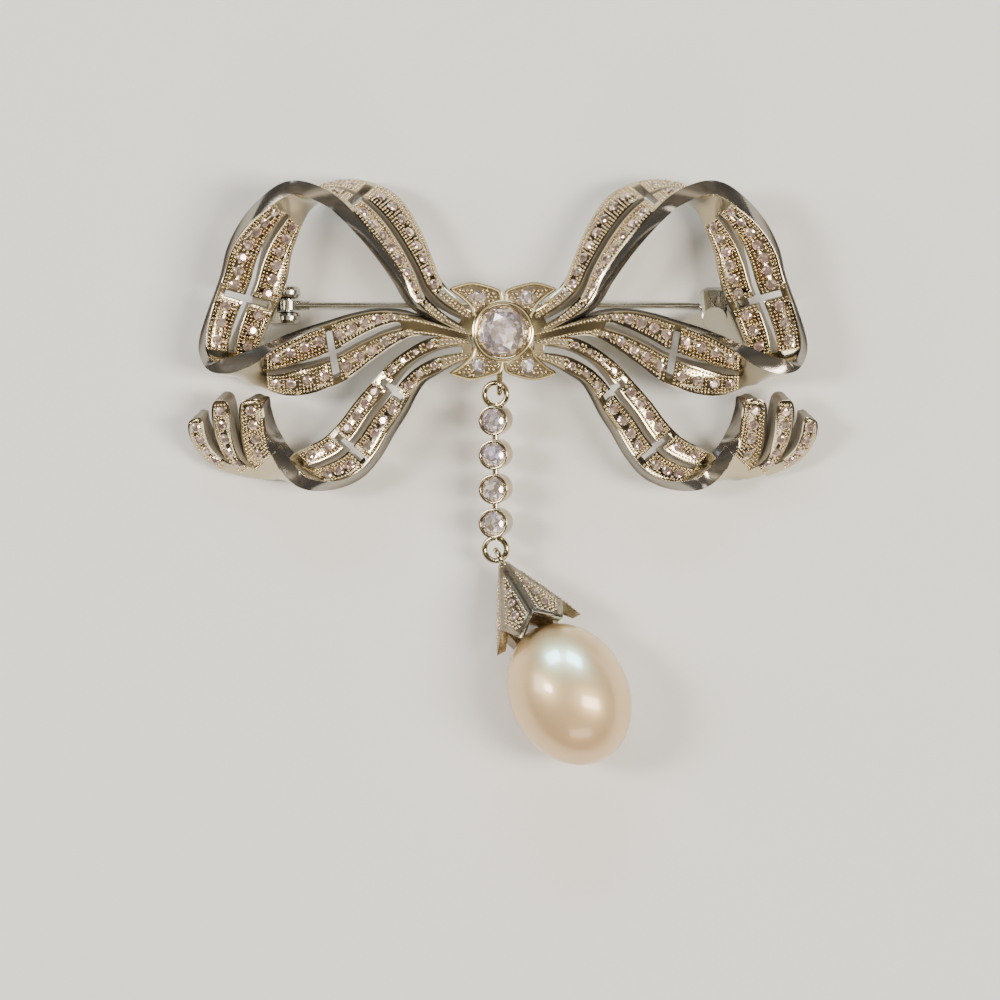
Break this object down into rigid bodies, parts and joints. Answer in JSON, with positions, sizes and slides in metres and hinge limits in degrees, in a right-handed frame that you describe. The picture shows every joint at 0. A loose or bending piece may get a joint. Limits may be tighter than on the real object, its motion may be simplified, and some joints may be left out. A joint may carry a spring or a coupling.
{
  "type": "bow brooch",
  "caption": "Bow brooch of pierced stone-set ribbons with a flower centre, a stone bar and a pearl drop, worn by a hinged pin.",
  "frame": {"origin": "middle of the whole object's outline as seen from the front, on the surface it lies on", "axes": "+X across the bow to the viewer's right, +Y up from the pearl towards the loops, +Z out of the front, away from the surface it lies on"},
  "size_m": [0.063, 0.0587, 0.012],
  "materials": {
    "bow_metal": "polished",
    "flower_metal": "polished",
    "bar_metal": "polished",
    "cap_metal": "satin",
    "pin_metal": "satin",
    "small_stones": "polished",
    "clear_stones": "polished",
    "pearl": "lustrous"
  },
  "bodies": {
    "brooch": {"bow_left": "bow_metal", "bow_right": "bow_metal", "small_stones_left": "small_stones", "small_stones_right": "small_stones", "flower": "flower_metal", "centre_stone": "clear_stones", "petal_stone_1": "clear_stones", "petal_stone_2": "clear_stones", "petal_stone_3": "clear_stones", "petal_stone_4": "clear_stones", "stone_bar": "bar_metal", "bar_stone_1": "clear_stones", "bar_stone_2": "clear_stones", "bar_stone_3": "clear_stones", "bar_stone_4": "clear_stones", "pearl_cap": "cap_metal", "cap_stones": "small_stones", "pearl": "pearl", "hinge_bracket": "pin_metal", "catch": "pin_metal"},
    "pin": {"pin_stem": "pin_metal"}
  },
  "joints": [
    {"name": "pin_hinge", "type": "hinge", "parent": "brooch", "child": "pin", "pos_m": [-0.02165, 0.01674, 0.00125], "axis": [0, 1, 0], "range_deg": [0, 75]}
  ]
}
